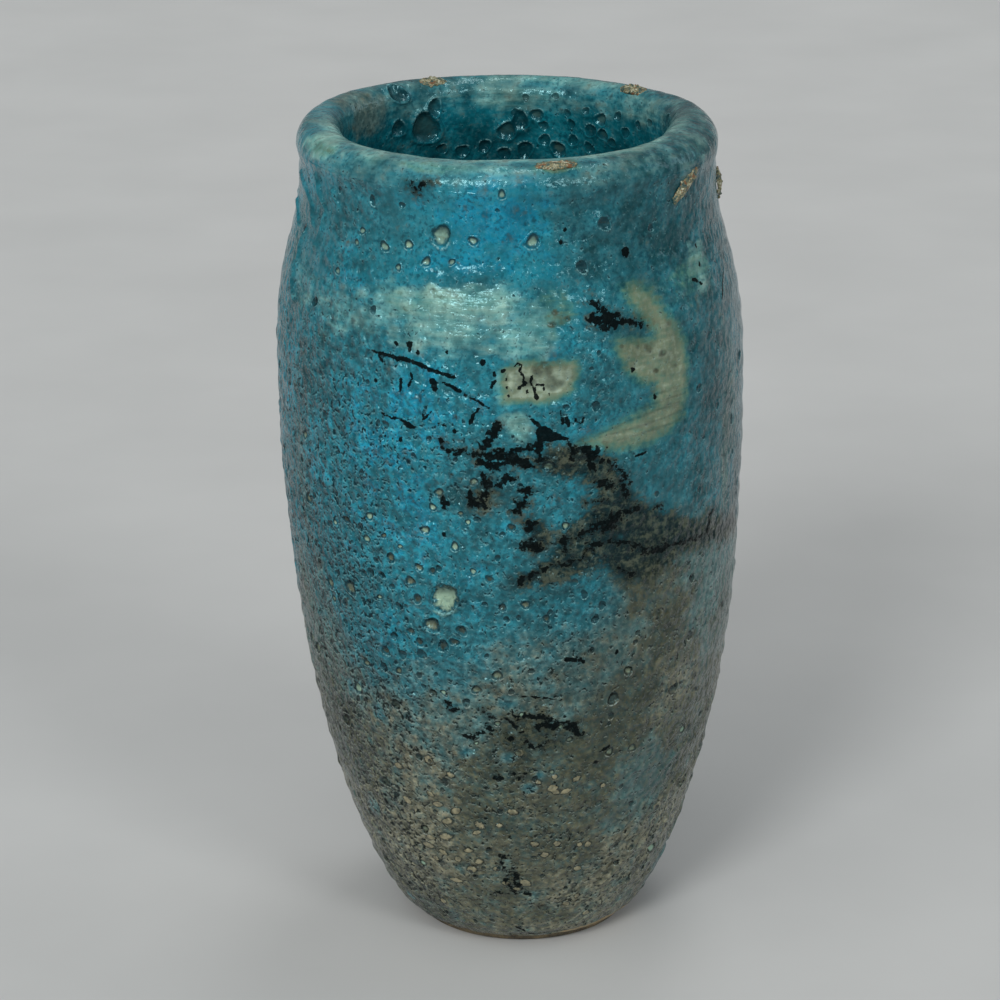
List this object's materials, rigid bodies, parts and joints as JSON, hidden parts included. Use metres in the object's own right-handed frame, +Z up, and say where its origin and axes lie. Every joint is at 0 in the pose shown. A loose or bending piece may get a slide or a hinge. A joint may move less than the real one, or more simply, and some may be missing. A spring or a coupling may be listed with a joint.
{
  "type": "pottery vase",
  "caption": "Hand-thrown ovoid stoneware vase with a rolled lip and a small turned foot, coated in thick cratered turquoise glaze inside and out.",
  "frame": {"origin": "on the surface that the vase stands on, below the middle of its belly", "axes": "+Z up through the mouth, -Y towards the front, +X to the right"},
  "size_m": [0.1281, 0.1278, 0.2314],
  "materials": {
    "clay": "matte fired stoneware, bare only at the foot",
    "outer_glaze": "satin turquoise crater glaze, grey-brown and drier towards the foot",
    "rim_glaze": "glossy turquoise glaze",
    "inner_glaze": "glossy deep teal crater glaze",
    "grit": "rough rusty tan kiln grit"
  },
  "bodies": {
    "root": {"clay_body": "clay", "outer_glaze": "outer_glaze", "rim_glaze": "rim_glaze", "inner_glaze": "inner_glaze", "floor_glaze": "inner_glaze", "rim_grit_front": "grit", "rim_grit_back_left": "grit", "rim_grit_back_right": "grit", "neck_grit_front": "grit", "neck_grit_side": "grit"}
  },
  "joints": []
}
